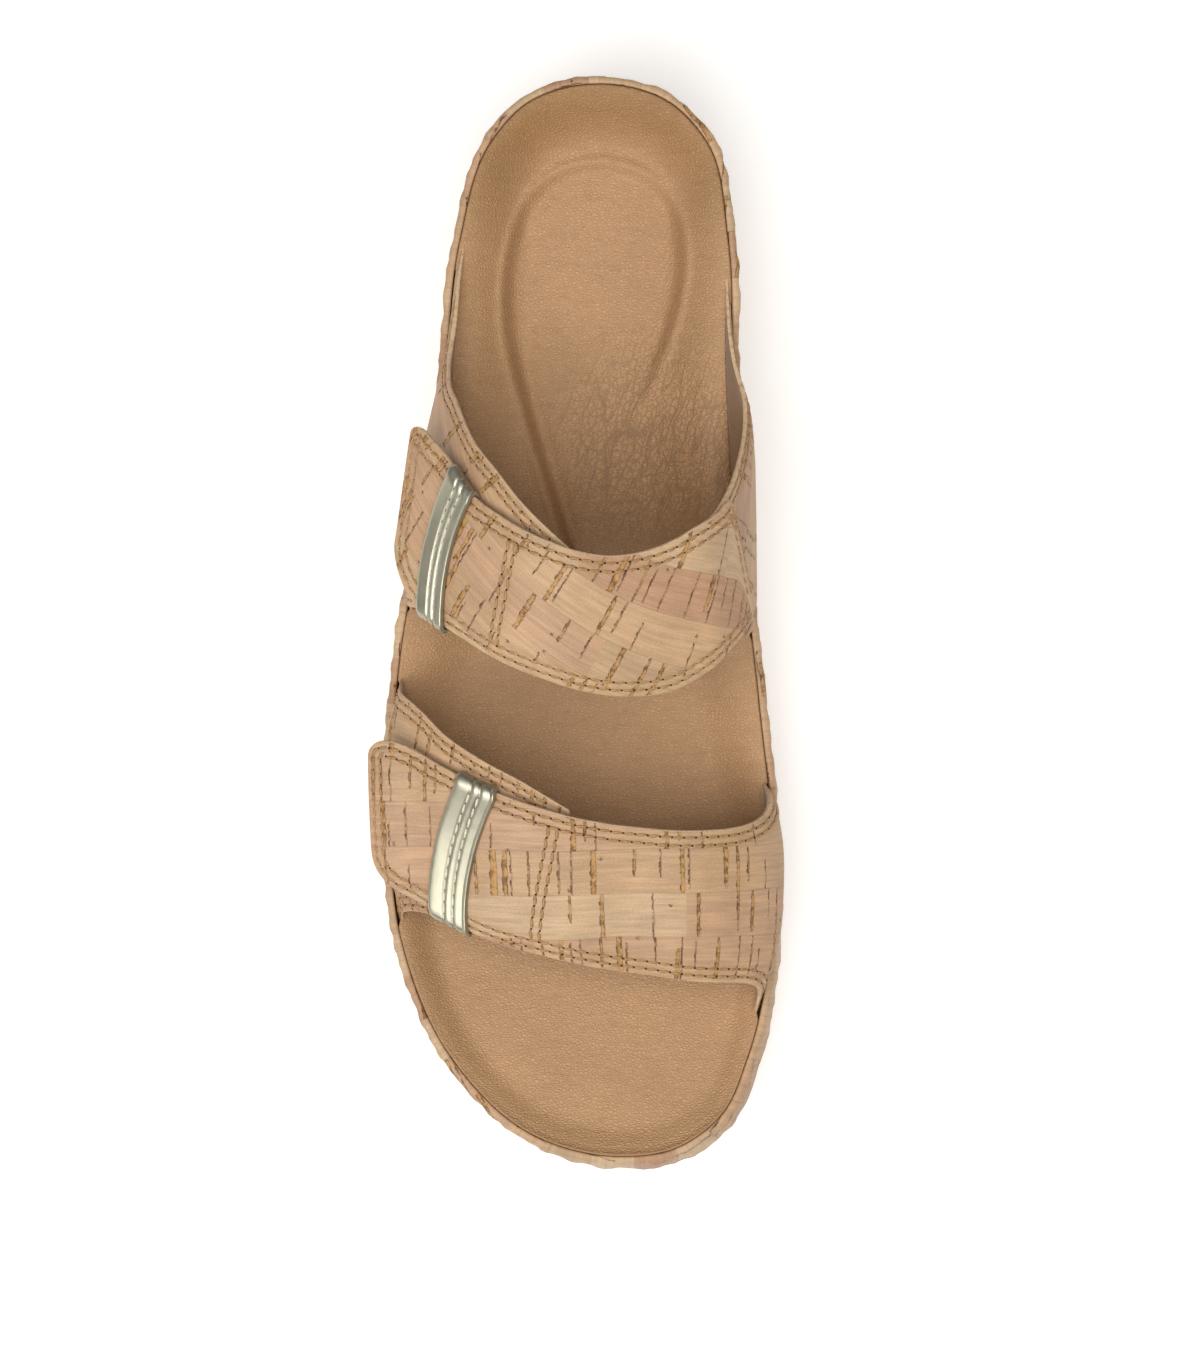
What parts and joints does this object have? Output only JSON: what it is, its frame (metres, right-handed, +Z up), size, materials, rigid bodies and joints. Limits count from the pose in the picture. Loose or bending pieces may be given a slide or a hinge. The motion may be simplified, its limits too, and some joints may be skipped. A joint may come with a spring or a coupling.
{
  "type": "slide sandal",
  "caption": "Right-foot slide sandal: cloth-wrapped wedge sole with a moulded leather footbed, and wide straps over instep and toes that fasten on the outer side.",
  "frame": {"origin": "on the floor under the middle of the sandal's box", "axes": "+Z up, toe towards -Y, heel towards +Y, +X towards the inner side of the foot"},
  "size_m": [0.097, 0.2522, 0.0878],
  "materials": {
    "outsole_rubber": "matt moulded rubber, pale tan",
    "cork_cloth": "cork-faced cloth in pale tan strips with dark and ochre slits",
    "footbed_leather": "matt fine-grained tan leather",
    "gold_leather": "ribbed metallic pale gold leather"
  },
  "bodies": {
    "root": {"outsole": "outsole_rubber", "midsole": "cork_cloth", "footbed": "footbed_leather", "instep_strap": "cork_cloth", "instep_underlay": "cork_cloth", "instep_quarter": "cork_cloth", "instep_keeper": "gold_leather", "toe_strap": "cork_cloth", "toe_underlay": "cork_cloth", "toe_keeper": "gold_leather"}
  },
  "joints": []
}
